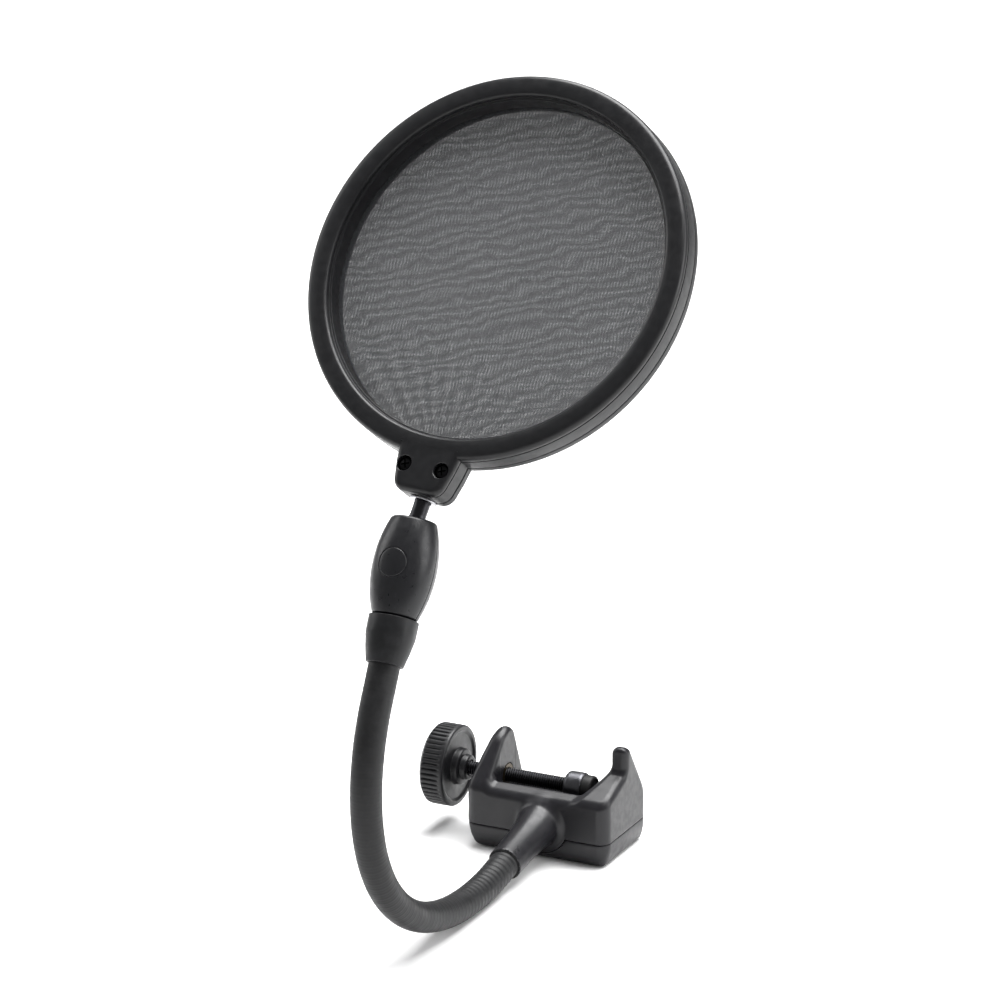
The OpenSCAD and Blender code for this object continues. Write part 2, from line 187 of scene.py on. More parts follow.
def prism(outline, section):
    """Points and faces of an outline carried along +Z through (inset, z) steps, with flat ends."""
    count = len(outline)
    normals = []
    for i in range(count):
        along = outline[(i + 1) % count] - outline[i - 1]
        normals.append(Vector((along.y, -along.x)).normalized())
    points, faces = [], []
    for inset, z in section:
        points += [(p.x - n.x * inset, p.y - n.y * inset, z) for p, n in zip(outline, normals)]
    for row in range(len(section) - 1):
        for i in range(count):
            k = (i + 1) % count
            a, b = row * count, (row + 1) * count
            faces.append((a + i, a + k, b + k, b + i))
    faces.append(tuple(reversed(range(count))))
    faces.append(tuple(range((len(section) - 1) * count, len(section) * count)))
    return points, faces


def edge_round(radius, z, towards, steps=6):
    """(inset, z) steps of the rounded edge that ends an extrusion at z.

    towards is 1 for the extrusion's far end and -1 for its near end.
    """
    turns = [math.pi / 2 * k / steps for k in range(steps + 1)]
    arc = [(radius * (1 - math.cos(t)), z - towards * radius * (1 - math.sin(t))) for t in turns]
    return arc if towards > 0 else arc[::-1]


def combine(thing, other, operation):
    """Boolean of two closed objects. The second one is used up."""
    change = thing.modifiers.new("combine", "BOOLEAN")
    change.operation = operation
    change.solver = "MANIFOLD"
    change.object = other
    deps = bpy.context.evaluated_depsgraph_get()
    result = bpy.data.meshes.new_from_object(thing.evaluated_get(deps))
    thing.modifiers.remove(change)
    thing.data = result
    bpy.data.objects.remove(other)
    shade(result, SMOOTH_ANGLE)
    return thing


# ---------------------------------------------------------------- distance shapes, negative inside
def round_max(a, b, radius):
    """Intersection with a rounded edge."""
    corner = np.hypot(np.maximum(a + radius, 0), np.maximum(b + radius, 0))
    return corner + np.minimum(np.maximum(a, b), -radius)


def round_min(a, b, radius):
    """Union with a fillet."""
    return -round_max(-a, -b, radius)


def line(u, v, start, end):
    """Distance to the right of the line from start to end."""
    du, dv = end[0] - start[0], end[1] - start[1]
    return ((u - start[0]) * dv - (v - start[1]) * du) / math.hypot(du, dv)


def box_2d(u, v, low, high, corner):
    """Rounded rectangle."""
    du = np.abs(u - (low[0] + high[0]) / 2) - (high[0] - low[0]) / 2 + corner
    dv = np.abs(v - (low[1] + high[1]) / 2) - (high[1] - low[1]) / 2 + corner
    return np.hypot(np.maximum(du, 0), np.maximum(dv, 0)) + np.minimum(np.maximum(du, dv), 0) - corner


def surface(distance, low, high, step):
    """Points and quads where distance(x, y, z) is 0, by surface nets, then moved onto the exact surface."""
    axes = [np.arange(a - step, b + 2 * step, step) for a, b in zip(low, high)]
    origin = np.array([axis[0] for axis in axes])
    field = distance(*np.meshgrid(*axes, indexing="ij")).astype(np.float32)
    cells = tuple(n - 1 for n in field.shape)
    total = np.zeros((*cells, 3), np.float32)
    count = np.zeros(cells, np.float32)
    for axis in range(3):
        for side in ((0, 0), (0, 1), (1, 0), (1, 1)):
            shift = [0, 0, 0]
            shift[(axis + 1) % 3], shift[(axis + 2) % 3] = side
            near = field[tuple(slice(s, s + n) for s, n in zip(shift, cells))]
            shift_far = list(shift)
            shift_far[axis] += 1
            far = field[tuple(slice(s, s + n) for s, n in zip(shift_far, cells))]
            cut = (near < 0) != (far < 0)
            place = np.zeros((int(cut.sum()), 3), np.float32)
            place[:] = shift
            place[:, axis] = near[cut] / (near[cut] - far[cut])
            total[cut] += place
            count[cut] += 1
    used = count > 0
    index = np.full(cells, -1, np.int64)
    index[used] = np.arange(int(used.sum()))
    points = (np.argwhere(used) + total[used] / count[used][:, None]) * step + origin
    quads = []
    for axis in range(3):
        u, v = (axis + 1) % 3, (axis + 2) % 3
        near = [slice(None)] * 3
        far = [slice(None)] * 3
        near[axis], far[axis] = slice(0, -1), slice(1, None)
        cut = (field[tuple(near)] < 0) != (field[tuple(far)] < 0)
        where = np.argwhere(cut)
        outward = field[tuple(where.T)] < 0
        corners = []
        for a, b in ((-1, -1), (0, -1), (0, 0), (-1, 0)):
            cell = where.copy()
            cell[:, u] += a
            cell[:, v] += b
            corners.append(index[tuple(cell.T)])
        quad = np.stack(corners, axis=1)
        quad[~outward] = quad[~outward][:, ::-1]
        quads.append(quad)
    for _ in range(3):
        value = distance(*points.T)
        tiny = step * 0.05
        slope = np.stack(
            [
                (distance(*(points + d * tiny).T) - distance(*(points - d * tiny).T)) / (2 * tiny)
                for d in np.eye(3)
            ],
            axis=1,
        )
        move = slope * (value / np.maximum((slope**2).sum(axis=1), 0.25))[:, None]
        points = points - np.clip(move, -step / 3, step / 3)
    return points, np.concatenate(quads).tolist()


def moulded(name, distance, low, high, step, place):
    return solid(name, *surface(distance, low, high, step), place, angle=math.radians(60))


# ---------------------------------------------------------------- materials
def node_tree(name):
    material = bpy.data.materials.new(name)
    material.use_nodes = True
    nodes, links = material.node_tree.nodes, material.node_tree.links
    shader = nodes["Principled BSDF"]
    return material, nodes, links, shader


def add(nodes, kind, **values):
    """A node with its properties and its inputs set by name, in lower case with _ for spaces."""
    node = nodes.new(kind)
    for key, value in values.items():
        if hasattr(node, key):
            setattr(node, key, value)
        else:
            node.inputs[key.replace("_", " ").title()].default_value = value
    return node


def noise(nodes, links, coordinate, size_mm, detail=2.0, rough=0.5):
    """Noise whose grains are about size_mm wide."""
    node = add(nodes, "ShaderNodeTexNoise", scale=1 / (size_mm * MM), detail=detail, roughness=rough)
    links.new(coordinate, node.inputs["Vector"])
    return node.outputs["Fac"]


def ramp(nodes, links, value, low, high, out_low, out_high):
    """value taken from low..high to out_low..out_high, held at the ends."""
    node = nodes.new("ShaderNodeMapRange")
    node.interpolation_type = "SMOOTHSTEP"
    for socket, number in zip(("From Min", "From Max", "To Min", "To Max"), (low, high, out_low, out_high)):
        node.inputs[socket].default_value = number
    links.new(value, node.inputs["Value"])
    return node.outputs["Result"]


def math_node(nodes, links, operation, a, b=None, c=None):
    node = nodes.new("ShaderNodeMath")
    node.operation = operation
    for socket, value in zip(node.inputs, (a, b, c)):
        if value is None:
            continue
        if isinstance(value, (int, float)):
            socket.default_value = value
        else:
            links.new(value, socket)
    return node.outputs["Value"]


def tinted(nodes, links, factor, dark, light):
    """A colour between dark and light by factor."""
    node = nodes.new("ShaderNodeMix")
    node.data_type = "RGBA"
    links.new(factor, node.inputs["Factor"])
    first, second = (socket for socket in node.inputs if socket.type == "RGBA")
    first.default_value = (*dark, 1)
    second.default_value = (*light, 1)
    return next(socket for socket in node.outputs if socket.type == "RGBA")


def bump(nodes, links, shader, height, strength, distance_mm):
    node = add(nodes, "ShaderNodeBump", strength=strength, distance=distance_mm * MM)
    links.new(height, node.inputs["Height"])
    links.new(node.outputs["Normal"], shader.inputs["Normal"])


def moulded_plastic(name, colour, roughness=0.42, grain_mm=0.28, grain=0.25, worn=0.35):
    """Injection-moulded plastic: fine grain, slightly uneven gloss, and edges rubbed a little lighter."""
    material, nodes, links, shader = node_tree(name)
    spot = nodes.new("ShaderNodeTexCoord").outputs["Object"]
    cloud = noise(nodes, links, spot, 9, 3)
    edge = nodes.new("ShaderNodeNewGeometry").outputs["Pointiness"]
    rubbed = ramp(nodes, links, edge, 0.52, 0.6, 0, worn)
    shader.inputs["Specular IOR Level"].default_value = 0.32
    shift = math_node(nodes, links, "ADD", math_node(nodes, links, "MULTIPLY", cloud, 0.5), rubbed)
    dark = [c * 0.82 for c in colour]
    light = [c * 1.6 + 0.002 for c in colour]
    links.new(tinted(nodes, links, shift, dark, light), shader.inputs["Base Color"])
    uneven = noise(nodes, links, spot, 3, 4, 0.6)
    gloss = ramp(nodes, links, uneven, 0.3, 0.7, roughness - 0.05, roughness + 0.07)
    links.new(gloss, shader.inputs["Roughness"])
    bump(nodes, links, shader, noise(nodes, links, spot, grain_mm, 2), grain, 0.02)
    return material


def rubber(name, colour, roughness=0.58, grain_mm=0.35):
    """Matt rubber: dry, slightly chalky, with a fine grain."""
    material, nodes, links, shader = node_tree(name)
    spot = nodes.new("ShaderNodeTexCoord").outputs["Object"]
    dust = noise(nodes, links, spot, 5, 4, 0.65)
    chalk = ramp(nodes, links, dust, 0.35, 0.75, 0.0, 1.0)
    shade_of = tinted(nodes, links, chalk, [c * 0.85 for c in colour], [c * 1.35 for c in colour])
    links.new(shade_of, shader.inputs["Base Color"])
    gloss = ramp(nodes, links, dust, 0.3, 0.7, roughness - 0.06, roughness + 0.08)
    links.new(gloss, shader.inputs["Roughness"])
    shader.inputs["Specular IOR Level"].default_value = 0.26
    bump(nodes, links, shader, noise(nodes, links, spot, grain_mm, 3), 0.3, 0.02)
    return material


def metal(name, colour, roughness=0.3, metallic=1.0, streak=(1, 1, 1)):
    """Turned or plated metal with fine streaks and smudged gloss."""
    material, nodes, links, shader = node_tree(name)
    spot = nodes.new("ShaderNodeTexCoord").outputs["Object"]
    stretch = add(nodes, "ShaderNodeMapping")
    stretch.inputs["Scale"].default_value = streak
    links.new(spot, stretch.inputs["Vector"])
    lines = noise(nodes, links, stretch.outputs["Vector"], 0.5, 3)
    smudge = noise(nodes, links, spot, 2.5, 4, 0.6)
    shade_of = tinted(nodes, links, smudge, [c * 0.8 for c in colour], [c * 1.15 for c in colour])
    links.new(shade_of, shader.inputs["Base Color"])
    gloss = ramp(nodes, links, smudge, 0.3, 0.7, roughness - 0.06, roughness + 0.08)
    links.new(gloss, shader.inputs["Roughness"])
    shader.inputs["Metallic"].default_value = metallic
    bump(nodes, links, shader, lines, 0.2, 0.01)
    return material


def yarn_grain(nodes, links, sheet_place, stretch, seed):
    """Uneven yarn: short dashes along one set of threads, centred on 0."""
    place = add(nodes, "ShaderNodeMapping")
    place.inputs["Scale"].default_value = stretch
    place.inputs["Location"].default_value = (seed, seed * 2, 0)
    links.new(sheet_place.outputs["Vector"], place.inputs["Vector"])
    node = add(nodes, "ShaderNodeTexNoise", scale=1.0, detail=2.0, roughness=0.6)
    links.new(place.outputs["Vector"], node.inputs["Vector"])
    centred = math_node(nodes, links, "SUBTRACT", node.outputs["Fac"], 0.5)
    return math_node(nodes, links, "MULTIPLY", centred, 1.1)


def woven_nylon(name, warp_pitch, weft_pitch, turn, drift, fan, opacity, seed):
    """One layer of nylon mesh on a sheet whose UVs are millimetres: two sets of threads with gaps between them.

    The threads wander by drift millimetres, so two layers make moire bands.
    fan is the strength of a fan of denser threads that opens from the sheet's lowest point.
    """
    material, nodes, links, shader = node_tree(name)
    uv = nodes.new("ShaderNodeUVMap")
    uv.uv_map = "cloth"
    spin = add(nodes, "ShaderNodeMapping")
    spin.inputs["Rotation"].default_value = (0, 0, math.radians(turn))
    links.new(uv.outputs["UV"], spin.inputs["Vector"])
    split = nodes.new("ShaderNodeSeparateXYZ")
    links.new(spin.outputs["Vector"], split.inputs["Vector"])
    across, up = split.outputs["X"], split.outputs["Y"]

    def wander(size, offset):
        move = add(nodes, "ShaderNodeMapping")
        move.inputs["Location"].default_value = (offset, seed, 0)
        move.inputs["Scale"].default_value = (0.6, 1.0, 1.0)
        links.new(uv.outputs["UV"], move.inputs["Vector"])
        node = add(nodes, "ShaderNodeTexNoise", scale=1 / size, detail=3.0, roughness=0.55)
        links.new(move.outputs["Vector"], node.inputs["Vector"])
        centred = math_node(nodes, links, "SUBTRACT", node.outputs["Fac"], 0.5)
        return math_node(nodes, links, "MULTIPLY", centred, 2 * drift)

    # threads bunched into a faint fan that opens upwards from the sheet's lowest point
    flat = nodes.new("ShaderNodeSeparateXYZ")
    links.new(uv.outputs["UV"], flat.inputs["Vector"])
    reach = math_node(nodes, links, "ADD", flat.outputs["Y"], SCREEN_R + 5)
    near = math_node(nodes, links, "MULTIPLY", ramp(nodes, links, reach, 18, 66, 1, 0), fan)
    spread = math_node(nodes, links, "ARCTAN2", flat.outputs["X"], reach)
    bunched = math_node(nodes, links, "SINE", math_node(nodes, links, "MULTIPLY", spread, 38))
    bunched = math_node(nodes, links, "MULTIPLY", bunched, near)
    upright = yarn_grain(nodes, links, spin, (4.2, 0.50, 1.0), seed)
    level = yarn_grain(nodes, links, spin, (0.45, 3.6, 1.0), seed + 5)
    slub = math_node(nodes, links, "ADD", upright, level)
    across = math_node(nodes, links, "ADD", across, wander(24, 11))
    up = math_node(nodes, links, "ADD", up, wander(13, 37))

    def threads(position, pitch, cover):
        """1 on a thread and 0 in a gap. cover is from -1 to 1, with 0 for threads as wide as the gaps."""
        phase = math_node(nodes, links, "MULTIPLY", position, 2 * math.pi / pitch)
        wave = math_node(nodes, links, "SINE", phase)
        return ramp(nodes, links, wave, cover - 0.75, cover + 0.75, 1, 0)

    warp, weft = threads(across, warp_pitch, 0.22), threads(up, weft_pitch, 0.22)
    cover = math_node(nodes, links, "MAXIMUM", warp, weft)
    density = math_node(nodes, links, "ADD", math_node(nodes, links, "ADD", slub, bunched), cover)
    links.new(ramp(nodes, links, density, 0.0, 1.1, 0.4, opacity), shader.inputs["Alpha"])
    # painted sheen: warp threads get a lighter base colour and weft threads a darker one, standing in for light
    # caught on the threads
    over = math_node(nodes, links, "SUBTRACT", warp, weft)
    painted_sheen = ramp(nodes, links, over, -1, 1, 0.0, 1.0)
    shade_of = tinted(nodes, links, painted_sheen, (0.028, 0.029, 0.032), (0.05, 0.052, 0.057))
    links.new(shade_of, shader.inputs["Base Color"])
    links.new(ramp(nodes, links, cover, 0, 1, 0.55, 0.4), shader.inputs["Roughness"])
    shader.inputs["Sheen Weight"].default_value = 0.1
    shader.inputs["Sheen Roughness"].default_value = 0.4
    bump(nodes, links, shader, cover, 0.4, 0.08)
    return material


body_plastic = moulded_plastic("body_plastic", (0.0085, 0.0082, 0.0102), 0.35)
ring_plastic = moulded_plastic("ring_plastic", (0.0065, 0.0066, 0.0076), 0.34, worn=0.25)
barrel_plastic = moulded_plastic("barrel_plastic", (0.0090, 0.0092, 0.0108), 0.32)
knob_plastic = moulded_plastic("knob_plastic", (0.0080, 0.0080, 0.0092), 0.38)
boot_rubber = rubber("boot_rubber", (0.0095, 0.0097, 0.0108), 0.42)
sleeve_rubber = rubber("sleeve_rubber", (0.0105, 0.0106, 0.0114), 0.50)
collar_rubber = rubber("collar_rubber", (0.005, 0.005, 0.0055), 0.60)
pad_rubber = rubber("pad_rubber", (0.008, 0.008, 0.008), 0.50)
core_steel = metal("core_steel", (0.45, 0.45, 0.46), 0.35)
screw_steel = metal("screw_steel", (0.50, 0.50, 0.51), 0.3)
black_steel = metal("black_steel", (0.035, 0.035, 0.038), 0.34)
shoe_steel = metal("shoe_steel", (0.085, 0.085, 0.092), 0.36)
lug_screw_steel = metal("lug_screw_steel", (0.012, 0.012, 0.013), 0.35)
bright_steel = metal("bright_steel", (0.42, 0.42, 0.44), 0.28)
brass = metal("brass", (0.07, 0.055, 0.035), 0.4)
seat_nylon = moulded_plastic("seat_nylon", (0.62, 0.61, 0.57), 0.45, worn=0.1)
front_mesh = woven_nylon("front_mesh", 0.50, 0.50, -10.4, 0.6, 0.09, 0.93, 3.1)
rear_mesh = woven_nylon("rear_mesh", 0.36, 0.565, -9.0, 0.6, 0.09, 0.93, 8.7)


def piece(thing, body, material, slot, *nodes):
    """Finishes a piece: its material, the body it rides on, and the nodes it stands for."""
    thing.data.materials.clear()
    thing.data.materials.append(material)
    if body:
        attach(thing, body)
    if nodes:
        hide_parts(*nodes)
    return thing


# ---------------------------------------------------------------- camera
def make_camera():
    turn, lift = math.radians(VIEW_AZIMUTH), math.radians(VIEW_ELEVATION)
    back = Vector((math.sin(turn) * math.cos(lift), -math.cos(turn) * math.cos(lift), math.sin(lift)))
    data = bpy.data.cameras.new("camera")
    data.lens = VIEW_LENS
    data.sensor_width = 36
    data.clip_end = 50
    camera = bpy.data.objects.new("camera", data)
    camera.location = VIEW_AIM + back * VIEW_DISTANCE
    camera.rotation_euler = back.to_track_quat("Z", "Y").to_euler()
    bpy.context.scene.collection.objects.link(camera)
    bpy.context.scene.camera = camera


make_camera()

# ---------------------------------------------------------------- clamp
first_bend, second_bend = joint_point("neck_bend_low"), joint_point("neck_sway")
heading_2 = X.cross(joint_axis("neck_sway")).normalized()
if heading_2.dot(second_bend - first_bend) < 0:
    heading_2 = -heading_2
chord = (second_bend - first_bend).normalized()
exit_axis = (2 * chord.dot(heading_2) * chord - heading_2).normalized()
neck_exit = first_bend - exit_axis * HALF_LINK


def neck_distances(x, y, z):
    """Depth behind the gooseneck's exit, and distance from its axis."""
    dx, dy, dz = x - neck_exit.x, y - neck_exit.y, z - neck_exit.z
    depth = -(dx * exit_axis.x + dy * exit_axis.y + dz * exit_axis.z)
    radius = np.sqrt(np.maximum(dx**2 + dy**2 + dz**2 - depth**2, 0))
    return depth, radius


def clamp_skin(x, y, z):
    """The whole clamp without its holes: block, front wall, screw jaw, hook, ramp and tapered neck."""
    outline = box_2d(x, y, (CLAMP_LEFT, -CLAMP_HALF_W), (CLAMP_RIGHT, CLAMP_HALF_W), CLAMP_CORNER)
    under = round_max(-z, line(x, z, (CLAMP_LEFT, 9), (CLAMP_LEFT + 4.5, 0)), 2.0)
    under = round_max(under, line(x, z, (CLAMP_RIGHT - 2, 0), (CLAMP_RIGHT, 4)), 2.0)
    under = round_max(under, line(np.abs(y), z, (CLAMP_HALF_W - 2, 0), (CLAMP_HALF_W, 4)), 2.0)
    wall_crest = (-13, WALL_Z + 2.5)
    wall_top = line(y, z, wall_crest, (-20, WALL_Z))
    wall = round_max(wall_top, line(y, z, (WALL_INNER_Y, FLOOR_Z), wall_crest), 1.6)
    floor = round_min(wall, z - FLOOR_Z, 1.5)

    jaw_side = round_max(line(y, z, (-4.6, 42.8), (-20, 25.5)), line(y, z, (17.0, 18), (7.0, 42.8)), 1.0)
    jaw_side = round_max(jaw_side, z - 44.9, 4.2)
    jaw_plate = round_max(line(x, z, (-28.5, JAW_TOP), (CLAMP_LEFT, WALL_Z)), x - JAW_INNER_X, 1.0)
    jaw = round_max(jaw_side, jaw_plate, 2.6)

    hook_side = round_min(line(y, z, (LIP_Y, 34.5), (-20, 27)), LIP_Y - y, 2.0)
    hook_side = round_max(hook_side, line(y, z, (20, 20.4), (LIP_Y + 7.2, 41.2)), 2.5)
    ramp_top = (20, 31.6)
    ramp_face = line(x, z, ramp_top, (6, FLOOR_Z - 0.6))
    ramp_face = round_min(ramp_face, line(x, z, (HOOK_FACE_X, 35.6), ramp_top), 1.0)
    ramp_face = round_min(ramp_face, HOOK_FACE_X - x, 1.0)
    hook_top = round_max(ramp_face, z - 44.8, 2.8)
    hook = round_max(hook_side, hook_top, 2.0)

    body = round_min(round_min(floor, jaw, 2.4), hook, 1.0)
    body = round_max(body, outline, 3.0)
    body = round_max(body, under, 2.0)
    depth, radius = neck_distances(x, y, z)
    flare = 7 + 2.4 * np.clip((depth - 3) / 31, 0, 1) ** 3
    neck = round_max((radius - flare) * 0.95, -depth, 0.5)
    neck = np.maximum(neck, depth - 38)
    return round_max(round_min(body, neck, 2.6), 0.4 - z + np.where(y > -20, -0.4, 0), 0.3)


def clamp_upper(x, y, z):
    """The clamp body: the skin above the parting line, and round the tapered neck below it."""
    depth, radius = neck_distances(x, y, z)
    shape = round_max(clamp_skin(x, y, z), np.minimum(PARTING_Z + 0.05 - z, radius - 12.1), 0.35)
    bore = np.maximum(np.hypot(y, z - SCREW_Z) - 4.65, x - JAW_INNER_X - 5)
    shape = round_max(shape, -bore, 0.5)
    channel = np.maximum(np.abs(y) - SHOE_HALF_W - 0.4, FLOOR_Z - 0.7 - z)
    channel = np.maximum(channel, np.maximum(x - 16.2, JAW_INNER_X + 0.1 - x))
    shape = round_max(shape, -channel, 0.4)
    return round_max(shape, -np.maximum(radius - 6.45, depth - 6.2), 0.3)


def clamp_lower(x, y, z):
    """The base shell: the skin below the parting line, with the four screw holes."""
    depth, radius = neck_distances(x, y, z)
    shape = round_max(clamp_skin(x, y, z), np.maximum(z - PARTING_Z + 0.1, 12.3 - radius), 0.35)
    for hole_x in BASE_HOLE_X:
        away = np.hypot(x - hole_x, np.abs(y) - BASE_HOLE_Y)
        hole = np.minimum(np.maximum(away - BASE_HEAD_R, z - BASE_HEAD_DEPTH), away - BASE_HOLE_R)
        shape = round_max(shape, -hole, 0.3)
    return shape


CLAMP_CELL = 0.42
clamp_body = moulded(
    "clamp_body_shell",
    clamp_upper,
    (CLAMP_LEFT, neck_exit.y - 2, 0),
    (CLAMP_RIGHT, CLAMP_HALF_W, 46),
    CLAMP_CELL,
    clamp_place,
)
piece(clamp_body, "clamp", body_plastic, "body_plastic", "clamp_body")
clamp_base = moulded(
    "clamp_base_shell",
    clamp_lower,
    (CLAMP_LEFT, -CLAMP_HALF_W - 8, 0),
    (CLAMP_RIGHT, CLAMP_HALF_W, PARTING_Z),
    CLAMP_CELL,
    clamp_place,
)
piece(clamp_base, "clamp", body_plastic, "body_plastic", "clamp_base")

exit_place = placed(neck_exit, X, exit_axis)
collar = solid(
    "neck_collar",
    *revolve(rounded([(6.15, -2.9, 0.1), (6.42, -2.9, 0.1), (6.42, 0.25, 0.1), (6.15, 0.25, 0.1)], 2), 64),
    exit_place,
)
piece(collar, "clamp", collar_rubber, "collar_rubber", "lower_collar")


# ---------------------------------------------------------------- screw, knob and shoe
def threaded_screw():
    """The clamp screw: a helical thread from the knob to the shoe, a plain necked tip and the hex head."""
    around, per_turn = 32, 10
    start, end = -53.0 + 4.2, 4.4
    rows = int((end - start) / THREAD_PITCH * per_turn) + 1
    points, faces = [], []
    for i in range(rows):
        x = start + (end - start) * i / (rows - 1)
        for j in range(around):
            phase = (x / THREAD_PITCH - j / around) % 1
            crest = min(abs(phase - 0.5) * 2 / 0.85, 1)
            fade = min(1, end - x)
            r = SCREW_R - THREAD_DEPTH * (1 - crest) * fade - 0.25 * (1 - fade)
            turn = 2 * math.pi * j / around
            points.append((x, r * math.cos(turn), r * math.sin(turn)))
    tip = ((4.45, 2.2), (8.1, 2.2), (8.12, 1.7), (8.9, 1.7), (8.92, 2.2), (9.2, 2.2), (9.4, 1.9))
    for x, r in tip:
        for j in range(around):
            turn = 2 * math.pi * j / around
            points.append((x, r * math.cos(turn), r * math.sin(turn)))
    rows += len(tip)
    for i in range(rows - 1):
        for j in range(around):
            k = (j + 1) % around
            faces.append((i * around + j, i * around + k, (i + 1) * around + k, (i + 1) * around + j))
    faces.append(tuple(range(around)))
    faces.append(tuple(reversed(range((rows - 1) * around, rows * around))))
    place = clamp_place @ Matrix.Translation((0, 0, SCREW_Z))
    screw = solid("threaded_screw", points, faces, place)
    hex_r, hex_round = 5.5, 0.3
    sixths = [math.pi / 3 * k for k in range(6)]
    head_outline = rounded([(hex_r * math.cos(a), hex_r * math.sin(a), hex_round) for a in sixths], 2)
    head = solid("hex", *prism(head_outline, [(0.3, -53), (0, -52.7), (0, -49.2), (0.3, -48.9)]), screw_place)
    return combine(screw, head, "UNION")


piece(threaded_screw(), "screw", black_steel, "black_steel", "clamp_screw")


def ribbed_knob():
    """The knob: ribs round the rim between two plain bands, a dished face and a hub."""
    outline = rounded(
        [
            (3.05, -0.1, 0.1),
            (5.2, -0.1, 0.8),
            (5.3, -2.6, 0.2),
            (7.4, -2.8, 0.8),
            (7.6, -5.6, 0.5),
            (13.6, -5.9, 0.5),
            (14.6, -5.1, 0.4),
            (KNOB_R, -5.1, 1.0),
            (KNOB_R, -6.9, 0),
        ],
        5,
    )
    outline += [Vector((KNOB_R, -6.9 - 6.4 * k / 10)) for k in range(1, 10)]
    outline += rounded([(KNOB_R, -13.6, 0), (KNOB_R - 0.2, -14.6, 0), (KNOB_R - 1.5, -15.7, 0)], 1)
    outline += [Vector((8.3, -15.7)), Vector((8.1, -15.5)), Vector((8.1, -12.6)), Vector((3.05, -12.6))]

    rib_depth = 0.65

    def ribs(turn, r, z):
        if r < KNOB_R - 1.6 or not -14.8 < z < -6.8:
            return r
        wave = math.cos(turn * KNOB_RIBS)
        valley = max(0.0, -wave - 0.15) / 0.85
        fade = min(1, (z + 14.9) / 0.9, (-6.8 - z) / 0.5)
        return r - rib_depth * max(0.0, fade) * valley

    points, faces = revolve(outline, KNOB_RIBS * 10, ribs)
    place = clamp_place @ Matrix.Translation((KNOB_X, 0, SCREW_Z)) @ Matrix.Rotation(math.pi / 2, 4, "Y")
    return solid("ribbed_knob", points, faces, place)


piece(ribbed_knob(), "screw", knob_plastic, "knob_plastic", "knob")
cap_outline = rounded(
    [
        (0, -56.1, 0),
        (5.6, -56.1, 0.6),
        (6.3, -55.6, 0.3),
        (7.0, -56.1, 0.3),
        (7.95, -56.1, 0.4),
        (7.95, -53.1, 0.2),
        (0, -53.1, 0),
    ],
    4,
)
knob_cap = solid("knob_cap_disc", *revolve(cap_outline, 96), screw_place)
piece(knob_cap, "screw", knob_plastic, "knob_plastic", "knob_cap")


def shoe_shape(x, y, z):
    """The pressure shoe: a turned cap with a guide foot, hollow for the screw's tip and the pad."""
    radius = np.hypot(y, z - SCREW_Z)
    cap = round_max(radius - SHOE_HALF_W, np.abs(x - 7.25) - 4.25, 1.9)
    foot = box_2d(x, y, (5, -5.2), (10.2, 5.2), 1.0)
    foot = round_max(round_max(foot, FLOOR_Z - 0.4 - z, 0.5), z - SCREW_Z, 0.3)
    shape = round_min(cap, foot, 0.8)
    shape = round_max(shape, -np.maximum(radius - 3.1, x - 4.5), 0.2)
    return round_max(shape, -np.maximum(radius - 5.55, 10.2 - x), 0.2)


shoe = moulded("shoe_cap", shoe_shape, (3, -6.3, 18.5), (11.6, 6.3, 31.5), 0.25, clamp_place)
piece(shoe, "shoe", shoe_steel, "black_steel", "pressure_shoe")
pad_outline = rounded(
    [
        (0, 10.25, 0),
        (PAD_R, 10.25, 0.1),
        (PAD_R, 14.7, 0.9),
        (4.3, 15.0, 0.4),
        (3.9, 14.7, 0.3),
        (0, 14.7, 0),
    ],
    5,
)
pad = solid("shoe_rubber", *revolve(pad_outline, 72), screw_place)
piece(pad, "shoe", pad_rubber, "pad_rubber", "shoe_pad")


# ---------------------------------------------------------------- gooseneck
PATH_STEP = 0.24


def neck_path():
    """Centre line of the gooseneck: (length along it, point, direction) samples, and each bend's length."""
    bends = [Vector(joint["pos_m"]) / MM for joint in NECK_ORDER]
    samples = []
    length = -6.0
    while length < HALF_LINK:
        samples.append((length, neck_exit + exit_axis * length, exit_axis.copy()))
        length += PATH_STEP
    heading = exit_axis.copy()
    at = HALF_LINK
    marks = [at]
    for here, there in zip(bends, bends[1:]):
        chord_now = there - here
        straight = chord_now.normalized()
        after = (2 * straight.dot(heading) * straight - heading).normalized()
        turn = heading.angle(after)
        run = chord_now.length if turn < 1e-6 else chord_now.length * (turn / 2) / math.sin(turn / 2)
        side = (after - heading * after.dot(heading)).normalized() if turn > 1e-6 else Vector((0, 0, 0))
        while length < at + run:
            t = (length - at) / run * turn
            bend_r = run / turn
            point = here + heading * bend_r * math.sin(t) + side * bend_r * (1 - math.cos(t))
            samples.append((length, point, heading * math.cos(t) + side * math.sin(t)))
            length += PATH_STEP
        at += run
        marks.append(at)
        heading = after
    end = at + HALF_LINK + 4
    while length <= end:
        samples.append((length, bends[-1] + barrel_axis * (length - at), barrel_axis.copy()))
        length += PATH_STEP
    return samples, marks


def rib(length):
    """Height of the sleeve's ribs: the wound core shows through near the clamp, then only a fine ribbing."""
    coarse = 0.5 + 0.5 * math.cos(2 * math.pi * length / 2.88)
    fine = 0.5 + 0.5 * math.cos(2 * math.pi * length / 1.44)
    near = max(0.0, 1 - max(0.0, length - 4) / 46)
    return -(0.03 + 0.26 * near) * (1 - coarse**0.6) - 0.035 * (1 - fine)


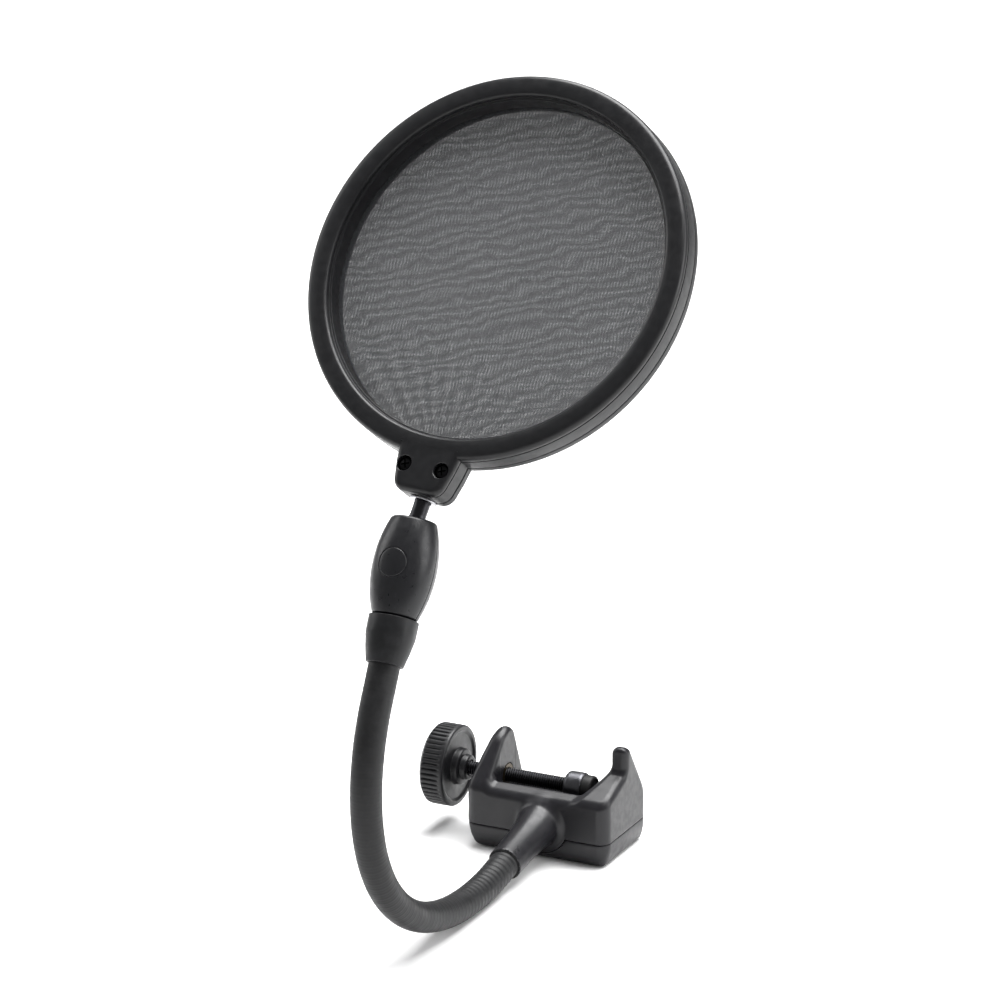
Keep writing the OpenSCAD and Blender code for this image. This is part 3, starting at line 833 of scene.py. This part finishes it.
def neck_sleeves():
    samples, marks = neck_path()
    edges = [samples[0][0]]
    edges += [(a + b) / 2 for a, b in zip(marks, marks[1:])]
    edges.append(samples[-1][0])
    around = 56
    for n, mark in enumerate(marks):
        low, high = edges[n], edges[n + 1]
        rows = [s for s in samples if low - 1e-6 <= s[0] <= high + PATH_STEP]
        points, faces = [], []
        outer = [(row, SLEEVE_R + rib(row[0])) for row in rows]
        inner = [(row, SLEEVE_BORE_R) for row in rows[::-8] if row is not rows[-1]]
        inner = [(rows[-1], SLEEVE_BORE_R)] + inner
        if inner[-1][0] is not rows[0]:
            inner.append((rows[0], SLEEVE_BORE_R))
        loop = outer + inner
        for (length, centre, direction), r in loop:
            side = (X - direction * X.dot(direction)).normalized()
            up = direction.cross(side)
            for j in range(around):
                turn = 2 * math.pi * j / around
                points.append(centre + side * r * math.cos(turn) + up * r * math.sin(turn))
        count = len(loop)
        for i in range(count):
            a, b = i * around, (i + 1) % count * around
            for j in range(around):
                k = (j + 1) % around
                faces.append((a + j, a + k, b + k, b + j))
        sleeve = solid(f"ribbed_sleeve_{n + 1}", points, faces, clamp_place)
        nodes = [f"neck_sleeve_{n + 1}"] + (["neck_sleeve_12"] if n == len(marks) - 1 else [])
        piece(sleeve, None, sleeve_rubber, "sleeve_rubber", *nodes)
        direction = min(samples, key=lambda s: abs(s[0] - mark))[2]
        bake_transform(sleeve)


neck_sleeves()

# ---------------------------------------------------------------- boot, barrel and ball
boot_outline = rounded(
    [
        (6.2, 0, 0.2),
        (7.2, 0, 0.4),
        (8.5, 5.5, 6.0),
        (9.55, 11.0, 8.0),
        (9.6, 17.75, 0.35),
        (6.2, 17.75, 0.2),
    ],
    6,
)
boot = solid("boot", *revolve(boot_outline, 96), barrel_place)
piece(boot, "barrel", boot_rubber, "boot_rubber", "upper_boot")


def barrel_outside(x, y, z):
    radius = np.hypot(x, y)
    bow = np.hypot(radius - (BARREL_R - BARREL_BOW), z - BARREL_Z - BARREL_LEN / 2) - BARREL_BOW
    ends = np.maximum(z - BARREL_Z - BARREL_LEN, BARREL_Z - z)
    return bow, round_max(bow, ends, 0.9)


def barrel_half(side):
    """Half of the barrel, with its mouth, the ball's socket and the cap's hole. side is -1 for the front."""

    def shape(x, y, z):
        radius = np.hypot(x, y)
        whole = barrel_outside(x, y, z)[1]
        half = round_max(whole, 0.04 - side * y, 0.3)
        top = BARREL_Z + BARREL_LEN
        mouth = line(radius, z, (BALL_R - 0.7, BALL_Z + 3), (BALL_R + 1.1, top))
        mouth = np.maximum(mouth, BALL_Z + 2 - z)
        socket = np.sqrt(radius**2 + (z - BALL_Z) ** 2) - BALL_R - 0.1
        throat = np.maximum(radius - BALL_R + 0.7, BALL_Z - z)
        hollow = np.minimum(np.minimum(socket, throat), mouth)
        half = round_max(half, -hollow, 0.35)
        cap_hole = np.maximum(np.hypot(x, z - CAP_Z) - CAP_R - 0.05, y + 9.0)
        return round_max(half, -cap_hole, 0.25)

    return shape


for side, label in ((-1, "front"), (1, "rear")):
    near, far = (-12.5, 0.1) if side < 0 else (-0.1, 12.5)
    low, high = (-12.5, near, BARREL_Z), (12.5, far, BARREL_Z + BARREL_LEN)
    half = moulded(f"barrel_{label}_shell", barrel_half(side), low, high, 0.3, barrel_place)
    piece(half, "barrel", barrel_plastic, "barrel_plastic", f"barrel_{label}")


def cap_shape(x, y, z):
    across = np.hypot(x, z - CAP_Z)
    bow = barrel_outside(x, y, z)[0]
    return round_max(round_max(bow - 0.05, across - CAP_R, 0.45), y + 9.1, 0.1)


blank_cap = moulded("blank_cap", cap_shape, (-6, -12.6, CAP_Z - 6), (6, -9, CAP_Z + 6), 0.2, barrel_place)
piece(blank_cap, "barrel", barrel_plastic, "barrel_plastic", "barrel_cap")

ball_turns = [math.pi * k / 40 for k in range(34)]
ball_outline = [Vector((BALL_R * math.sin(t), -BALL_R * math.cos(t))) for t in ball_turns]
ball_outline += rounded(
    [
        (STEM_R + 0.25, 6.0, 0),
        (STEM_R, 7.2, 1.0),
        (STEM_R, 17.9, 0.3),
        (2.0, 18.1, 0),
        (2.0, 26.8, 0.2),
        (0, 27, 0),
    ],
    4,
)
stem = solid("ball_and_stem", *revolve(ball_outline, 72), head_place)
piece(stem, "ball", black_steel, "black_steel", "ball_stem")


# ---------------------------------------------------------------- ring
def lug_outline():
    """The lug, seen from the front, with its underside at 0."""
    return rounded(
        [
            (-9.9, 0, 5.3),
            (9.9, 0, 5.3),
            (12.4, 10.6, 6.0),
            (14.0, 21.0, 1.0),
            (-14.0, 21.0, 1.0),
            (-12.4, 10.6, 6.0),
        ],
        8,
    )


lug_place = head_place @ Matrix.Translation((0, 0, STEM_REACH)) @ FACE_FRONT


def round_cutter(r, z0, z1, place, chamfer=0.0):
    """A round hole's cutter from z0 to z1, wider by chamfer over its last millimetre."""
    rim = r + chamfer
    corners = ((0, z0), (r, z0), (r, z1 - 1), (rim, z1 - 1 + chamfer), (rim, z1), (0, z1))
    outline = [Vector(corner) for corner in corners]
    return solid("cutter", *revolve(outline, 64), place)


def drill_lug(thing, front, back):
    """Screw holes with recesses from the front, and the stem's hole."""
    for x in (-LUG_SCREW_X, LUG_SCREW_X):
        spot = lug_place @ Matrix.Translation((x, LUG_SCREW_RISE, 0))
        if front > 0:
            combine(thing, round_cutter(3.1, front - 3.0, front + 0.7, spot, 0.25), "DIFFERENCE")
        combine(thing, round_cutter(1.6, back - 1, front + 1, spot), "DIFFERENCE")
    stem_hole = head_place @ Matrix.Translation((0, 0, STEM_REACH - 4))
    combine(thing, round_cutter(STEM_R + 0.1, -1, 18, stem_hole), "DIFFERENCE")


def front_ring():
    crown_r, middle = 16.0, (OPEN_R + RING_R) / 2
    crown = []
    for k in range(9):
        r = 75.4 - (75.4 - 72.3) * k / 8
        crown.append((r, RING_FRONT - 0.02 - crown_r + math.sqrt(crown_r**2 - (r - middle) ** 2), 0))
    corners = [
        (OPEN_R, RING_PART, 0.2),
        (RING_R, RING_PART, 0.3),
        (RING_R, 5.5, 0.1),
        (RING_R - 0.45, 5.6, 0.05),
        (RING_R - 0.45, 5.95, 0.05),
        (RING_R - 0.05, 6.05, 0.1),
        (RING_R - 0.05, 8.7, 2.3),
        *crown,
        (OPEN_R + 0.95, 8.85, 1.8),
        (OPEN_R + 0.9, 6.3, 0.2),
        (OPEN_R, 6.1, 0.2),
    ]
    ring = solid("front_ring_shell", *revolve(rounded(corners, 8), 384), ring_place)
    groove = [(0, 5.5), (0.42, 5.6), (0.42, 5.95), (0, 6.05)]
    section = [(0.3, RING_PART), (0, RING_PART + 0.3), *groove, *edge_round(2.6, RING_FRONT - 0.1, 1, 10)]
    lug = solid("lug", *prism(lug_outline(), section), lug_place)
    combine(ring, lug, "UNION")
    drill_lug(ring, RING_FRONT, RING_PART)
    return ring


def rear_ring():
    corners = [
        (OPEN_R, RING_BACK, 0.6),
        (RING_R, RING_BACK, 1.5),
        (RING_R, RING_PART - 0.3, 0.3),
        (SCREEN_R + 1.2, RING_PART - 0.3, 0.1),
        (SCREEN_R + 1.2, RING_PART - 2.1, 0.1),
        (OPEN_R, RING_PART - 2.1, 0.2),
    ]
    ring = solid("rear_ring_shell", *revolve(rounded(corners, 6), 384), ring_place)
    section = [*edge_round(1.2, RING_BACK, -1, 6), (0, RING_PART - 0.6), (0.3, RING_PART - 0.3)]
    lug = solid("rear_lug", *prism(lug_outline(), section), lug_place)
    combine(lug, round_cutter(RING_R - 0.8, RING_BACK - 1, RING_PART + 1, ring_place), "DIFFERENCE")
    combine(ring, lug, "UNION")
    drill_lug(ring, RING_PART - 0.3, RING_BACK)
    return ring


piece(front_ring(), "head", ring_plastic, "ring_plastic", "front_ring")
piece(rear_ring(), "head", ring_plastic, "ring_plastic", "rear_ring")


def cross_screws():
    """The two lug screws: pan heads with a tapered cross recess."""
    screws = None
    for x in (-LUG_SCREW_X, LUG_SCREW_X):
        spot = lug_place @ Matrix.Translation((x, LUG_SCREW_RISE, 0))
        seat = RING_FRONT - 2.95
        outline = rounded(
            [
                (0, -3.6, 0),
                (1.4, -3.6, 0.2),
                (1.45, seat, 0),
                (2.85, seat, 0.2),
                (2.75, seat + 1.7, 1.1),
                (0, seat + 2.1, 0),
            ],
            6,
        )
        screw = solid("lug_screw", *revolve(outline, 64), spot)
        for turn in (20, 110):
            reach, half = 1.75, 0.32
            wing = [Vector(at) for at in ((-reach, -half), (reach, -half), (reach, half), (-reach, half))]
            tilt = spot @ Matrix.Rotation(math.radians(turn), 4, "Z")
            cutter = solid("wing", *prism(wing, [(0.16, seat + 0.3), (0, seat + 2.4)]), tilt)
            combine(screw, cutter, "DIFFERENCE")
        screws = screw if screws is None else combine(screws, screw, "UNION")
    screws.name = "lug_cross_screws"
    return screws


piece(cross_screws(), "head", lug_screw_steel, "lug_screw_steel", "lug_screws")
WASHER_R = 5.2
washer_outline = rounded(
    [
        (STEM_R + 0.1, STEM_REACH - 0.85, 0.1),
        (WASHER_R, STEM_REACH - 0.85, 0.35),
        (WASHER_R, STEM_REACH - 0.05, 0.1),
        (STEM_R + 0.1, STEM_REACH - 0.05, 0.1),
    ],
    4,
)
washer = solid("bright_washer", *revolve(washer_outline, 72), head_place)
piece(washer, "head", bright_steel, "bright_steel", "stem_washer")


def screen(name, depth, sag, material, node):
    """A stretched disc of mesh whose UVs are its own millimetres, dished a little by its tension."""
    rings, around = 48, 144
    points = [(0.0, 0.0, depth - sag)]
    for i in range(1, rings + 1):
        r = SCREEN_R * i / rings
        for j in range(around):
            turn = 2 * math.pi * j / around
            points.append((r * math.cos(turn), r * math.sin(turn), depth - sag * (1 - (r / SCREEN_R) ** 2)))
    faces = [(0, 1 + j, 1 + (j + 1) % around) for j in range(around)]
    for i in range(rings - 1):
        a, b = 1 + i * around, 1 + (i + 1) * around
        faces += [(a + j, b + j, b + (j + 1) % around, a + (j + 1) % around) for j in range(around)]
    mesh = bpy.data.meshes.new(name)
    mesh.from_pydata(points, [], faces)
    cloth = mesh.uv_layers.new(name="cloth")
    for loop in mesh.loops:
        cloth.data[loop.index].uv = mesh.vertices[loop.vertex_index].co.xy
    mesh.transform(ring_place)
    shade(mesh, SMOOTH_ANGLE)
    sheet = bpy.data.objects.new(name, mesh)
    bpy.context.scene.collection.objects.link(sheet)
    piece(sheet, "head", material, "nylon_mesh", node)


screen("front_mesh_disc", RING_PART - 0.15, 0.0, front_mesh, "front_screen")
screen("rear_mesh_disc", RING_PART - 1.85, 0.0, rear_mesh, "rear_screen")

# ---------------------------------------------------------------- carried-over CAD nodes
CAD_FINISH = {
    "base_screws": screw_steel,
    "thread_insert": brass,
    "lower_ferrule": core_steel,
    "ferrule_screw": screw_steel,
    "retaining_clip": screw_steel,
    "upper_ferrule": core_steel,
    "barrel_screw": screw_steel,
    "ball_seat": seat_nylon,
    "spacer_ring": ring_plastic,
    "stem_nut": screw_steel,
    **{f"neck_core_{k}": core_steel for k in range(1, 13)},
}
for node_name, finish in CAD_FINISH.items():
    node = frame["nodes"][node_name]
    if not node.material_slots:
        node.data.materials.append(finish)
    for holder in node.material_slots:
        holder.material = finish


# ---------------------------------------------------------------- studio
PAPER_GREY, WORLD_STRENGTH = 0.88, 0.34


def studio():
    """A flat pale floor, a dim even world, and soft light from above and behind and from both sides."""
    floor_mesh = bpy.data.meshes.new("floor")
    half = 6.0
    corners = [(-half, -half, 0), (half, -half, 0), (half, half, 0), (-half, half, 0)]
    floor_mesh.from_pydata(corners, [], [(0, 1, 2, 3)])
    floor = bpy.data.objects.new("floor", floor_mesh)
    bpy.context.scene.collection.objects.link(floor)
    paper, nodes, links, shader = node_tree("paper")
    shader.inputs["Base Color"].default_value = (PAPER_GREY, PAPER_GREY, PAPER_GREY, 1)
    shader.inputs["Roughness"].default_value = 0.9
    shader.inputs["Specular IOR Level"].default_value = 0.1
    floor_mesh.materials.append(paper)

    def softbox(name, place, aim, size, power):
        data = bpy.data.lights.new(name, "AREA")
        data.shape = "RECTANGLE"
        data.size, data.size_y = size
        data.energy = power
        light = bpy.data.objects.new(name, data)
        light.location = place
        light.rotation_euler = (Vector(place) - Vector(aim)).to_track_quat("Z", "Y").to_euler()
        bpy.context.scene.collection.objects.link(light)

    middle = (0.0, -0.05, 0.12)
    softbox("top", (0.1, 0.45, 1.5), middle, (1.5, 1.0), 66)
    softbox("right", (1.6, 0.3, 0.8), middle, (0.9, 1.2), 16)
    softbox("left", (-1.6, -0.1, 0.9), middle, (0.7, 1.2), 9)

    world = bpy.data.worlds.new("studio")
    world.use_nodes = True
    background = world.node_tree.nodes["Background"]
    background.inputs["Color"].default_value = (1, 1, 1, 1)
    background.inputs["Strength"].default_value = WORLD_STRENGTH
    bpy.context.scene.world = world
    bpy.context.scene.view_settings.view_transform = "Standard"


studio()
